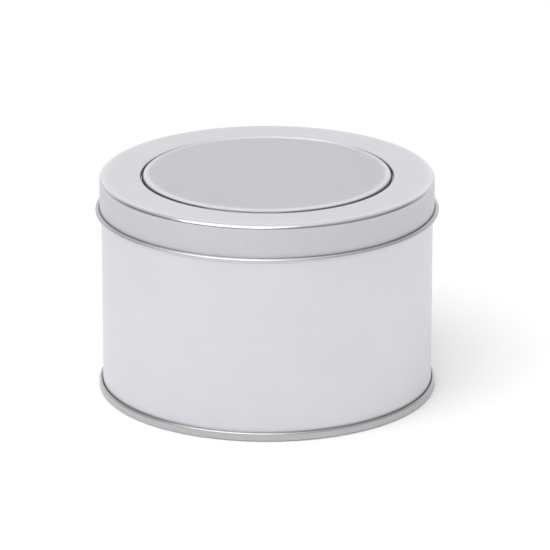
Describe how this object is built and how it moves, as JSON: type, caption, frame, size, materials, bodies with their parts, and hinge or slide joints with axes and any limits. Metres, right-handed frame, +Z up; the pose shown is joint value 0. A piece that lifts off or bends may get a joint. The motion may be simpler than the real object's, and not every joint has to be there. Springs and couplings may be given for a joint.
{
  "type": "candle tin with window lid",
  "caption": "Round satin tinplate candle tin with a double-seamed base and a slip-on lid that has a large clear window.",
  "frame": {"origin": "centre of the foot, on the surface that the tin stands on", "axes": "+Z up along the tin's axis, out through the lid; +Y is the back, where the wall's weld is"},
  "size_m": [0.0932, 0.0932, 0.0604],
  "materials": {
    "tinplate": "satin electrolytic tinplate, fine even grain, lacquered clear",
    "clear_plastic": "clear thermoformed sheet, glossy",
    "seam_compound": "cured sealing compound, dull"
  },
  "bodies": {
    "tin": {"body_wall": "tinplate", "bottom_end": "tinplate", "seam_compound": "seam_compound"},
    "lid": {"lid_shell": "tinplate", "window_pane": "clear_plastic", "window_retainer": "tinplate"}
  },
  "joints": [
    {"name": "lid_lift", "type": "slide", "parent": "tin", "child": "lid", "axis": [0, 0, 1], "range_m": [0, 0.03]}
  ]
}
